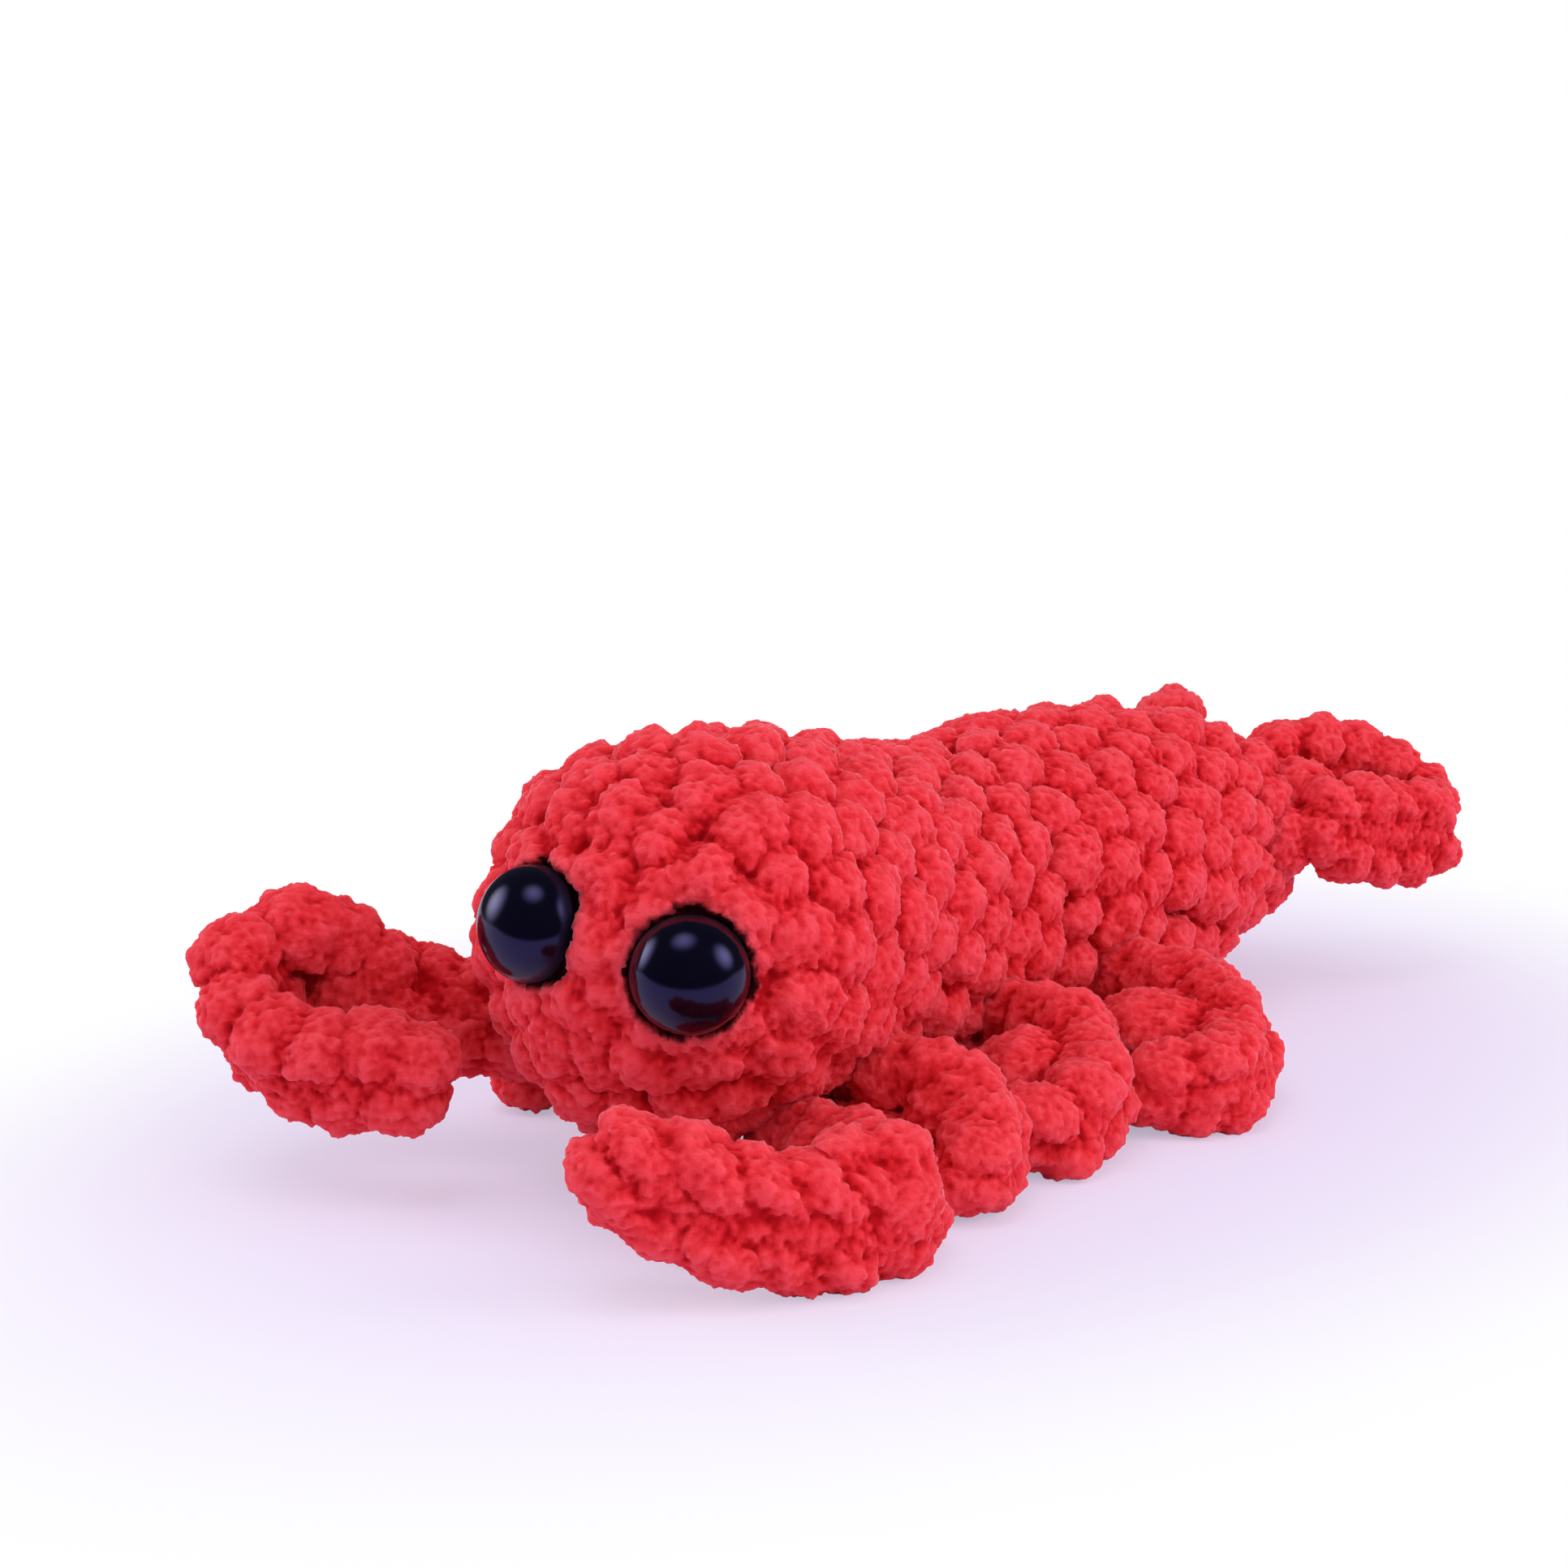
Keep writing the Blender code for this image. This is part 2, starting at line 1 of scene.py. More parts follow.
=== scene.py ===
# %% [markdown]
# # A crochet lobster
#
# This lesson dresses a plain model of a crocheted toy. The toy is worked in plush
# chenille yarn, so what the eye sees is rows of fat, fuzzy stitches. Each stitch is
# modelled as a lump of yarn, the lumps are melted into one skin, and the skin gets
# the small tufts of the pile. The plain model gives the sizes and stays underneath.
#
# Lengths are in millimetres until a mesh is made, and Blender gets metres.

import math

import bpy
import numpy as np
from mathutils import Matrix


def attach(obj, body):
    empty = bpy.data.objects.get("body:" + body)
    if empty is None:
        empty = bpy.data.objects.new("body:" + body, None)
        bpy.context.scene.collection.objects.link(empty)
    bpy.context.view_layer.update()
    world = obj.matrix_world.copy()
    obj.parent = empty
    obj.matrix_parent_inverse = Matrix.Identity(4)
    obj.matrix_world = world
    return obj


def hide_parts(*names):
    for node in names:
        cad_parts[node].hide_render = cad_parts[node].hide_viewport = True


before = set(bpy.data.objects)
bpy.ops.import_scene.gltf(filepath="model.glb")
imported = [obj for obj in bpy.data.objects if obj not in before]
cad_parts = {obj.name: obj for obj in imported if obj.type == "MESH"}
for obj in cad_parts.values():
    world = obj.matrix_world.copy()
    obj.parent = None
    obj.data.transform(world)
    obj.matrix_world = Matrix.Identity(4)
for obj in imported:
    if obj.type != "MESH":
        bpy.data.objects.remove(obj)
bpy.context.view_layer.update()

MM = 0.001
rng = np.random.default_rng(7)

# %% [markdown]
# ## The lobster's own measures
#
# The body is a stuffed tube on a gently bent spine. Its radius and the gap under
# it are given at a few places along the spine, from 0 at the middle of the head to 1
# at the tail. Turns, spreads and raises are in degrees.

# %% Body measures
HEAD_CENTRE = np.array([5.39, -55.04])
BODY_SPAN = 119.0
HEAD_TURN = 9.5
HEAD_RADIUS = 22.0
HEAD_ARC = HEAD_RADIUS * math.pi / 2.0
TAIL_RADIUS = 15.5
TAIL_TIP_LENGTH = 11.0
RADIUS_KNOTS = [(0.0, 22.0), (0.14, 21.5), (0.41, 19.8), (0.66, 21.3), (0.84, 20.2), (1.0, 15.5)]
LIFT_KNOTS = [(0.0, 5.5), (0.14, 4.6), (0.41, 1.8), (0.66, -0.5), (0.84, 0.5), (1.0, 5.8)]

FACE_TURN = 13.8
EYE_SPREAD = 24.2
EYE_RAISE_LEFT = 2.0
EYE_RAISE_RIGHT = 12.0
EYE_DIAMETER = 12.0
EYE_SINK = 1.5

BODY_VOXEL = 0.41
STRIP_VOXEL = 0.39
MELT_SMOOTHING = 2
UP = np.array([0.0, 0.0, 1.0])


def smooth_value(knots, t):
    """Value at t of the smooth curve through (place, value) knots."""
    index = 0
    while index < len(knots) - 2 and t > knots[index + 1][0]:
        index += 1
    before = knots[max(index - 1, 0)]
    start = knots[index]
    end = knots[index + 1]
    after = knots[min(index + 2, len(knots) - 1)]
    width = end[0] - start[0]
    u = (t - start[0]) / width
    slope_start = (end[1] - before[1]) * (width / (end[0] - before[0]))
    slope_end = (after[1] - start[1]) * (width / (after[0] - start[0]))
    blend = [2 * u**3 - 3 * u**2 + 1, u**3 - 2 * u**2 + u, -2 * u**3 + 3 * u**2, u**3 - u**2]
    return start[1] * blend[0] + slope_start * blend[1] + end[1] * blend[2] + slope_end * blend[3]


def spine_frame(place):
    """Floor point under the spine, with its side and back directions."""
    turn = math.radians(HEAD_TURN)
    heading = turn * (1.0 - 2.0 * place / BODY_SPAN)
    arc = BODY_SPAN / (2.0 * turn)
    x = arc * (math.cos(turn) - math.cos(heading)) + HEAD_CENTRE[0]
    y = arc * (math.sin(turn) - math.sin(heading)) + HEAD_CENTRE[1]
    side = np.array([math.cos(heading), math.sin(heading), 0.0])
    back = np.array([-math.sin(heading), math.cos(heading), 0.0])
    return np.array([x, y, 0.0]), side, back


def body_radius(place):
    return smooth_value(RADIUS_KNOTS, place / BODY_SPAN)


def body_centre(place):
    floor_point, _, _ = spine_frame(place)
    height = body_radius(place) + smooth_value(LIFT_KNOTS, place / BODY_SPAN)
    return floor_point + UP * height


def body_surface(distance, angle):
    """Point, outward, along and across directions at a distance from the nose, round the tube."""
    if distance < HEAD_ARC:
        _, side, back = spine_frame(0.0)
        radial = side * math.cos(angle) + UP * math.sin(angle)
        lean = distance / HEAD_RADIUS
        out = radial * math.sin(lean) - back * math.cos(lean)
        point = body_centre(0.0) + out * HEAD_RADIUS
        along = radial * math.cos(lean) + back * math.sin(lean)
    elif distance < HEAD_ARC + BODY_SPAN:
        place = distance - HEAD_ARC
        _, side, back = spine_frame(place)
        radial = side * math.cos(angle) + UP * math.sin(angle)
        out = radial
        point = body_centre(place) + radial * body_radius(place)
        along = back
    else:
        _, side, back = spine_frame(BODY_SPAN)
        radial = side * math.cos(angle) + UP * math.sin(angle)
        mean_radius = 0.5 * (TAIL_RADIUS + TAIL_TIP_LENGTH)
        lean = min((distance - HEAD_ARC - BODY_SPAN) / mean_radius, math.pi / 2.0)
        out = radial * math.cos(lean) + back * math.sin(lean)
        point = body_centre(BODY_SPAN) + radial * (TAIL_RADIUS * math.cos(lean))
        point = point + back * (TAIL_TIP_LENGTH * math.sin(lean))
        along = back * math.cos(lean) - radial * math.sin(lean)
    across = np.cross(along, out)
    return point, out, along, across / np.linalg.norm(across)


# %% [markdown]
# ## Lumps of yarn
#
# A stitch is a stretched ball of yarn. One ball is made with Blender's own
# primitive, and copies of it, each with its own size and direction, make a piece.

# %% Lumps and how they melt together


def ball_template():
    """Points and faces of one small ball."""
    bpy.ops.object.select_all(action="DESELECT")
    bpy.ops.mesh.primitive_ico_sphere_add(subdivisions=2, radius=1.0)
    ball = bpy.context.active_object
    points = np.array([vert.co[:] for vert in ball.data.vertices])
    faces = np.array([face.vertices[:] for face in ball.data.polygons])
    mesh = ball.data
    bpy.data.objects.remove(ball, do_unlink=True)
    bpy.data.meshes.remove(mesh)
    return points, faces


BALL_POINTS, BALL_FACES = ball_template()


class Lumps:
    """A growing heap of balls, each with a centre and three half-axes."""

    def __init__(self):
        self.points = []
        self.count = 0

    def add(self, centre, first, second, third):
        axes = np.array([first, second, third])
        self.points.append(centre + BALL_POINTS @ axes)
        self.count += 1

    def mesh_object(self, name):
        points = np.concatenate(self.points) * MM
        step = len(BALL_POINTS)
        faces = np.concatenate([BALL_FACES + step * index for index in range(self.count)])
        mesh = bpy.data.meshes.new(name)
        mesh.from_pydata(points.tolist(), [], faces.tolist())
        piece = bpy.data.objects.new(name, mesh)
        bpy.context.collection.objects.link(piece)
        return piece


def melt(piece, voxel):
    """Join the lumps into one closed skin with Blender's voxel remesh, and soften it."""
    bpy.ops.object.select_all(action="DESELECT")
    bpy.context.view_layer.objects.active = piece
    piece.select_set(True)
    remesh = piece.modifiers.new("melt", "REMESH")
    remesh.mode = "VOXEL"
    remesh.voxel_size = voxel * MM
    bpy.ops.object.modifier_apply(modifier=remesh.name)
    soften = piece.modifiers.new("soften", "SMOOTH")
    soften.factor = 0.5
    soften.iterations = MELT_SMOOTHING
    bpy.ops.object.modifier_apply(modifier=soften.name)


# %% [markdown]
# ## The pile
#
# Chenille yarn is covered in short tufts. Three patterns move the skin, from coarse
# to fine: slow waves that make the stitches uneven, round tufts of one to two
# millimetres, and a fine fuzz.

# %% Grains and waves


def cell_noise(points, size, seed):
    """Distance to the nearest of one random point per cell, in cells."""
    cells = points / size
    base = np.floor(cells).astype(np.int64)
    nearest = np.full(len(points), 9.0)
    for dx in (-1, 0, 1):
        for dy in (-1, 0, 1):
            for dz in (-1, 0, 1):
                cell = base + np.array([dx, dy, dz])
                mixed = (cell[:, 0] * 73856093) ^ (cell[:, 1] * 19349663) ^ (cell[:, 2] * 83492791) ^ seed
                spot = np.empty(cells.shape)
                for axis in range(3):
                    mixed = (mixed * 1103515245 + 12345) & 0x7FFFFFFF
                    spot[:, axis] = cell[:, axis] + ((mixed >> 8) & 0xFFFF) / 65536.0
                nearest = np.minimum(nearest, np.linalg.norm(cells - spot, axis=1))
    return nearest


def grain(points, size, seed):
    """Rounded grains from 0 between them to 1 on top."""
    return np.clip(1.0 - (cell_noise(points, size, seed) / 0.85) ** 2, 0.0, 1.0)


def wave_noise(points, size, seed):
    """Smooth random waves about as wide as size, mostly between -0.5 and 0.5."""
    cells = points / size + 0.37 * seed
    base = np.floor(cells).astype(np.int64)
    part = cells - base
    ease = part**3 * (part * (part * 6.0 - 15.0) + 10.0)
    total = np.zeros(len(points))
    for dx in (0, 1):
        for dy in (0, 1):
            for dz in (0, 1):
                corner = np.array([dx, dy, dz])
                cell = base + corner
                mixed = (cell[:, 0] * 73856093) ^ (cell[:, 1] * 19349663) ^ (cell[:, 2] * 83492791) ^ seed
                value = np.zeros(len(points))
                for axis in range(3):
                    mixed = (mixed * 1103515245 + 12345) & 0x7FFFFFFF
                    slope = ((mixed >> 8) & 0xFFFF) / 32768.0 - 1.0
                    value += slope * (part[:, axis] - corner[axis])
                weight = np.prod(np.where(corner == 1, ease, 1.0 - ease), axis=1)
                total += weight * value
    return total


# %% [markdown]
# Each point is moved along its normal. None sinks by more than half a millimetre, or
# the white stuffing would show between the stitches. Each point then remembers how
# deep among the creases it lies and how far it stands out on its tufts. The colour uses
# these for painted shade in the creases and painted highlights on ridges and tufts.

# %% Grow the pile
DEEPEST_SINK = -0.5
NEAR_ROUNDS = 8
WIDE_ROUNDS = 90


def read_points(mesh):
    points = np.empty(3 * len(mesh.vertices), dtype=np.float32)
    mesh.vertices.foreach_get("co", points)
    return points.reshape(-1, 3).astype(float) / MM


def write_points(mesh, points):
    mesh.vertices.foreach_set("co", (points * MM).astype(np.float32).ravel())
    mesh.update()


def read_normals(mesh):
    normals = np.empty(3 * len(mesh.vertices), dtype=np.float32)
    mesh.vertex_normals.foreach_get("vector", normals)
    return normals.reshape(-1, 3).astype(float)


def blurred(mesh, values, rounds):
    """Average each point's values with its neighbours', several times."""
    edges = np.empty(2 * len(mesh.edges), dtype=np.int32)
    mesh.edges.foreach_get("vertices", edges)
    edges = edges.reshape(-1, 2)
    count = len(mesh.vertices)
    ends = np.concatenate([edges[:, 0], edges[:, 1]])
    others = np.concatenate([edges[:, 1], edges[:, 0]])
    share = np.bincount(ends, minlength=count).astype(float)
    result = values.copy()
    for _ in range(rounds):
        total = np.stack([np.bincount(ends, weights=result[others, axis], minlength=count)
                          for axis in range(result.shape[1])], axis=1)
        result = 0.5 * result + 0.5 * total / share[:, None]
    return result


def add_attribute(mesh, name, values):
    attribute = mesh.attributes.new(name, "FLOAT", "POINT")
    attribute.data.foreach_set("value", values.astype(np.float32))


def grow_pile(piece):
    """Raise lumps and tufts on a melted skin, and note its creases and tufts for painted shade and painted
    highlights.
    """
    mesh = piece.data
    points = read_points(mesh)
    normals = read_normals(mesh)
    broad = 0.9 * wave_noise(points, 3.5, 5)
    tuft_and_painted_highlight = 0.34 * grain(points, 2.1, 11) + 0.18 * grain(points, 1.1, 23)
    fuzz = 0.45 * wave_noise(points, 1.3, 31) + 0.55 * wave_noise(points, 0.75, 41)
    rise = np.maximum(broad + tuft_and_painted_highlight + fuzz - 0.2, DEEPEST_SINK)
    points = points + normals * rise[:, None]
    points[:, 2] = np.maximum(points[:, 2], 0.0)
    write_points(mesh, points)
    normals = read_normals(mesh)
    near = blurred(mesh, points, NEAR_ROUNDS)
    wide = blurred(mesh, near, WIDE_ROUNDS)
    height = np.einsum("ij,ij->i", near - wide, normals)
    painted_tip_highlight = np.einsum("ij,ij->i", points - near, normals)
    # Painted shade and light: the first value is low deep in creases and high on ridges, the second high on
    # the tips of tufts; they darken and lighten the yarn's colour.
    add_attribute(mesh, "painted_crease_shade", np.clip(0.5 + 0.36 * height, 0.0, 1.0))
    add_attribute(mesh, "tuft_and_painted_highlight", np.clip(0.5 + 1.5 * painted_tip_highlight, 0.0, 1.0))
    mesh.shade_smooth()
    triangles = sum(len(face.vertices) - 2 for face in mesh.polygons)
    print(piece.name, "has", triangles, "triangles")


# %% [markdown]
# ## Body
#
# The body is worked in a spiral from the nose. Rounds of 6, 12 and 16 stitches widen
# the head, rounds of 18 make the tube, and the tail closes with fewer again. Each
# round is shifted a little, so the stitches line up in slanting rows. Smooth balls
# along the spine close the skin behind them.

# %% Body stitches
HEAD_ROUNDS = [(3.6, 6), (10.4, 12), (17.8, 16), (25.6, 18), (33.4, 18)]
TUBE_ROUNDS = 15
SPIRAL_RISE = 7.8
ROUND_SHIFT = 0.38
CORE_DEPTH = 3.1
CORE_BALLS = 60
STITCH_HALF_LENGTH = 5.0
STITCH_HALF_WIDTH = 3.9
STITCH_HALF_HEIGHT = 3.6


def body_rounds():
    """(distance from the nose, stitches) of every round."""
    rounds = list(HEAD_ROUNDS)
    tube_start = HEAD_ROUNDS[-1][0]
    pitch = (BODY_SPAN + HEAD_ARC - tube_start) / TUBE_ROUNDS
    for index in range(1, TUBE_ROUNDS + 1):
        rounds.append((tube_start + pitch * index, 18 if index < TUBE_ROUNDS - 1 else 16))
    rounds.append((HEAD_ARC + BODY_SPAN + 7.0, 12))
    rounds.append((HEAD_ARC + BODY_SPAN + 13.5, 7))
    return rounds


def body_lumps():
    heap = Lumps()
    for step in range(CORE_BALLS):
        place = BODY_SPAN * step / (CORE_BALLS - 1)
        _, side, back = spine_frame(place)
        radius = body_radius(place) - CORE_DEPTH
        length = min(radius, TAIL_TIP_LENGTH - CORE_DEPTH + 0.9 * (BODY_SPAN - place) + 1.0)
        heap.add(body_centre(place), side * radius, UP * radius, back * length)
    angle_shift = 0.0
    for index, (distance, count) in enumerate(body_rounds()):
        pitch = 2.0 * math.pi / count
        angle_shift -= ROUND_SHIFT * pitch
        for stitch in range(count):
            turn = angle_shift + pitch * (stitch + rng.normal(0.0, 0.07))
            place = distance + SPIRAL_RISE * (stitch / count - 0.5) * (0.6 if index > 1 else 0.1)
            place += rng.normal(0.0, 0.6)
            point, out, along, across = body_surface(max(place, 0.5), turn)
            along_spine = min(max(place - HEAD_ARC, 0.0), BODY_SPAN)
            ring = abs(np.dot(point - body_centre(along_spine), out))
            width = min(STITCH_HALF_WIDTH, 0.56 * pitch * max(ring, 3.0))
            size = rng.uniform(0.84, 1.2)
            lean = rng.normal(0.25, 0.25)
            long_axis = along * math.cos(lean) - across * math.sin(lean)
            wide_axis = across * math.cos(lean) + along * math.sin(lean)
            centre = point - out * (3.1 * size + rng.normal(0.0, 0.35))
            heap.add(centre, long_axis * STITCH_HALF_LENGTH * size, wide_axis * width * size,
                     out * STITCH_HALF_HEIGHT * size)
            shift = long_axis * rng.uniform(-2.0, 2.0) + wide_axis * rng.uniform(-0.8, 0.8)
            lump = rng.uniform(2.4, 3.0)
            heap.add(point + shift - out * 2.4, long_axis * lump, wide_axis * lump, out * lump)
    return heap


body = body_lumps().mesh_object("stitched_body")
print("the body has", len(body.data.vertices) // len(BALL_POINTS), "lumps of yarn")
melt(body, BODY_VOXEL)


# %% [markdown]
# ## Eye sockets
#
# A safety eye is pulled tight against its washer, so the yarn under it is pressed
# flat and the yarn beside it stands up round it. The pit is in deep shadow, so its
# points are marked for a darker colour.

# %% Eye sockets
SOCKET_RADIUS = 6.15
SOCKET_REACH = 7.8
SOCKET_DEPTH = 1.5
SOCKET_SLOPE = 6.0


def eye_place(side_sign, raise_angle):
    """Seat and outward direction of an eye."""
    turn = math.radians(FACE_TURN + side_sign * EYE_SPREAD)
    lift = math.radians(raise_angle)
    out = np.array([math.sin(turn) * math.cos(lift), -math.cos(turn) * math.cos(lift), math.sin(lift)])
    return body_centre(0.0) + out * (HEAD_RADIUS - EYE_SINK), out


EYES = [("eye_left", *eye_place(1.0, EYE_RAISE_LEFT)), ("eye_right", *eye_place(-1.0, EYE_RAISE_RIGHT))]


def press_sockets(piece):
    """Push the yarn back where an eye sits, so that it stands in a tight, uneven pit."""
    points = read_points(piece.data)
    for _, seat, out in EYES:
        offset = points - seat
        height = offset @ out
        radius = np.linalg.norm(offset - np.outer(height, out), axis=1)
        radius = radius + 0.6 * wave_noise(points, 2.0, 3) * (radius > 6.2)
        limit = -SOCKET_DEPTH + SOCKET_SLOPE * np.maximum(radius - SOCKET_RADIUS, 0.0)
        pressed = (radius < SOCKET_REACH) & (height > limit) & (height > -6.0)
        points[pressed] += np.outer((limit - height)[pressed], out)
    write_points(piece.data, points)


def shade_sockets(piece):
    """Note how far into a socket each point lies, for the painted shade there."""
    points = read_points(piece.data)
    shade = np.zeros(len(points))
    for _, seat, out in EYES:
        offset = points - seat
        height = offset @ out
        radius = np.linalg.norm(offset - np.outer(height, out), axis=1)
        radius = radius + 1.3 * wave_noise(points, 1.5, 3)
        under_dome = np.clip((6.75 - radius) / 0.6, 0.0, 1.0)
        beside_dome = np.clip((7.0 - radius) / 0.4, 0.0, 1.0) * np.clip((0.4 - height) / 0.6, 0.0, 1.0)
        deep = np.maximum(under_dome, beside_dome) * (height < 2.5) * (height > -6.0)
        shade = np.maximum(shade, deep)
    add_attribute(piece.data, "pit", shade)


press_sockets(body)
grow_pile(body)
shade_sockets(body)
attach(body, "root")
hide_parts("body_cover")

# %% [markdown]
# ## Strips
#
# Claws, legs and fins are strips, two stitches wide. A strip follows a bent line,
# and a second list says which way its broad face looks, so it can twist. Places are
# given as (outwards, behind, up) from the floor point under the spine. A strip may
# be slanted, narrowed half way along, and filled out with single balls where its
# loops are drawn shut.

# %% Strips
CURVE_SAMPLES = 200


def curve_values(values, t):
    """Point of the smooth curve through the values, t from 0 to 1."""
    last = len(values) - 1
    return np.array([smooth_value([(float(i), value[axis]) for i, value in enumerate(values)], t * last)
                     for axis in range(3)])


def local_points(place, side_sign, offsets):
    floor_point, side, back = spine_frame(place)
    return [floor_point + side * (side_sign * out) + back * behind + UP * up for out, behind, up in offsets]


def local_axes(place, side_sign, directions):
    _, side, back = spine_frame(place)
    return [side * (side_sign * out) + back * behind + UP * up for out, behind, up in directions]


def strip_lumps(points, faces_out, breadth, thickness, pitch, columns, slant, waist):
    """Fat cords of stitches side by side along a bent strip, narrowed by waist half way along."""
    heap = Lumps()
    samples = [curve_values(points, t) for t in np.linspace(0.0, 1.0, CURVE_SAMPLES)]
    steps = np.array([np.linalg.norm(b - a) for a, b in zip(samples, samples[1:])])
    travelled = np.concatenate([[0.0], np.cumsum(steps)])
    length = travelled[-1]

    def station(distance):
        t = float(np.interp(distance, travelled, np.linspace(0.0, 1.0, CURVE_SAMPLES)))
        centre = curve_values(points, t)
        along = curve_values(points, min(t + 0.01, 1.0)) - curve_values(points, max(t - 0.01, 0.0))
        along /= np.linalg.norm(along)
        face = curve_values(faces_out, t)
        face = face - along * np.dot(face, along)
        face /= np.linalg.norm(face)
        return centre, along, face, np.cross(along, face)

    def narrowing(distance):
        return 1.0 - waist * math.exp(-((distance / length - 0.47) / 0.16) ** 2)

    inset = 0.42 * breadth
    for step in range(int(length / 1.2) + 1):
        distance = inset + (length - 2.0 * inset) * step / int(length / 1.2)
        centre, along, face, across = station(distance)
        heap.add(centre, across * (0.5 * breadth * narrowing(distance) - 0.9), face * (0.5 * thickness - 0.6),
                 along * 2.6)
    end = 0.62 * pitch
    rows = int(round((length - 2.0 * end) / pitch))
    width = 0.5 * breadth / columns
    for column in range(columns):
        offset = (2 * column + 1 - columns) * width
        for row in range(rows + 1):
            stagger = 0.25 * pitch * (-1) ** column if columns > 1 else 0.0
            distance = end + (length - 2.0 * end) * row / rows + stagger + rng.normal(0.0, 0.3)
            centre, along, face, across = station(min(max(distance, end), length - end))
            size = rng.uniform(0.93, 1.09)
            near_end = min(distance, length - distance) / (0.75 * breadth)
            narrow = narrowing(distance)
            spread = offset * narrow * math.sqrt(min(max(near_end, 0.1), 1.0))
            spot = centre + across * spread + face * rng.normal(0.0, 0.3)
            heap.add(spot, along * (0.86 * pitch * size),
                     across * ((width * narrow + 0.5) * size) + along * slant,
                     face * ((0.5 * thickness + 0.1) * size))
    return heap


def make_strip(name, node, place, side_sign, offsets, directions, breadth, thickness,
               pitch=5.4, columns=2, slant=0.0, waist=0.0, filling=()):
    points = local_points(place, side_sign, offsets)
    faces_out = local_axes(place, side_sign, directions)
    heap = strip_lumps(points, faces_out, breadth, thickness, pitch, columns, slant, waist)
    _, side, back = spine_frame(place)
    for centre, half_axes in filling:
        heap.add(local_points(place, side_sign, [centre])[0], side * half_axes[0], back * half_axes[1],
                 UP * half_axes[2])
    piece = heap.mesh_object(name)
    melt(piece, STRIP_VOXEL)
    grow_pile(piece)
    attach(piece, "root")
    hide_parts(node)
    return piece


# %% [markdown]
# ## Legs
#
# Each leg leaves the flank, bends down to the floor and curls back in. The right legs
# are hidden in the picture. They have the same curl, farther back on the body.

# %% Legs
LEG_BREADTH = 11.5
LEG_THICKNESS = 8.5
LEG_ROOT_HEIGHT = 11.5
RIGHT_LEG_SHIFT = 12.0
LEGS = {"front": (13.5, 10.5, 11.0), "middle": (45.0, 15.0, 24.0), "rear": (72.5, 21.5, 25.2)}


def make_leg(name, node, place, reach, curl, side_sign):
    flank = body_radius(place)
    foot = 0.48 * LEG_BREADTH
    offsets = [
        (flank - 10.0, 0.0, LEG_ROOT_HEIGHT),
        (flank + 0.15 * reach, 0.0, LEG_ROOT_HEIGHT),
        (flank + 0.55 * reach, -0.08 * curl, LEG_ROOT_HEIGHT - 1.5),
        (flank + 0.89 * reach, -0.38 * curl, foot + 1.5),
        (flank + reach, -0.80 * curl, foot),
        (flank + 0.62 * reach, -curl, foot + 0.5),
    ]
    directions = [
        (0.0, 0.5, 1.0),
        (0.4, 0.5, 1.0),
        (0.9, 0.5, 0.7),
        (1.0, 0.0, 0.2),
        (0.8, -0.7, -0.1),
        (0.2, -1.0, -0.3),
    ]
    inner_turn = ((flank - 4.0, -0.3 * curl, 4.6), (10.5, 0.42 * curl + 3.0, 4.6))
    loop_web = ((flank + 0.42 * reach, -0.48 * curl, 8.0), (0.36 * reach, 0.30 * curl, 5.5))
    return make_strip(name, node, place, side_sign, offsets, directions, LEG_BREADTH, LEG_THICKNESS,
                      filling=[inner_turn, loop_web])


yarn_pieces = [body]
for side_name, side_sign, shift in (("left", 1.0, 0.0), ("right", -1.0, RIGHT_LEG_SHIFT)):
    for position, (place, reach, curl) in LEGS.items():
        node = "leg_%s_%s" % (side_name, position)
        yarn_pieces.append(make_leg("stitched_" + node, node, place + shift, reach, curl, side_sign))

# %% [markdown]
# ## Claws
#
# The left claw lies on the floor and curls in front of the head. The right claw is
# held up beside it and closes to a loop.

# %% Claws
CLAW_BREADTH = 13.0
CLAW_THICKNESS = 9.5
CLAW_LEFT_LINE = [
    (10.0, 0.0, 7.0),
    (20.0, -4.0, 6.5),
    (27.5, -9.0, 6.0),
    (30.5, -17.0, 6.0),
    (26.5, -25.5, 7.0),
    (18.0, -33.0, 10.5),
    (9.5, -38.5, 15.0),
]
CLAW_LEFT_FACES = [
    (0.0, 0.7, 1.0),
    (0.3, 0.8, 0.8),
    (0.8, 0.6, 0.5),
    (1.0, 0.0, 0.2),
    (0.8, -0.6, -0.1),
    (0.6, -0.8, -0.2),
    (0.5, -0.9, 0.0),
]
CLAW_RIGHT_LINE = [
    (12.5, 4.0, 15.0),
    (21.0, 0.5, 16.0),
    (27.0, -2.5, 17.0),
    (32.5, -5.0, 18.5),
    (37.5, -8.5, 24.0),
    (41.2, -14.0, 26.0),
    (42.5, -18.5, 24.0),
    (40.5, -22.0, 19.0),
    (34.5, -23.0, 15.5),
    (27.5, -21.0, 14.5),
    (19.0, -17.5, 14.0),
]
CLAW_RIGHT_FACES = [
    (-0.4, -0.9, 0.2),
    (-0.4, -0.9, 0.3),
    (-0.4, -0.8, 0.5),
    (-0.3, -0.4, 0.9),
    (0.1, 0.6, 1.0),
    (0.6, 0.4, 0.9),
    (1.0, 0.0, 0.2),
    (0.8, -0.4, -0.4),
    (-0.1, -0.9, -0.5),
    (-0.4, -0.9, -0.2),
    (-0.4, -0.9, -0.1),
]
CLAW_LEFT_FILLING = [
    ((12.0, -16.0, 3.6), (9.0, 9.0, 3.6)),
    ((30.5, -17.0, 11.2), (5.0, 5.0, 4.6)),
    ((32.2, -17.5, 7.5), (4.2, 5.5, 5.0)),
    ((28.0, -21.0, 12.2), (3.8, 4.0, 3.6)),
]
CLAW_RIGHT_FILLING = [((36.0, -10.5, 20.0), (5.0, 4.0, 5.0))]

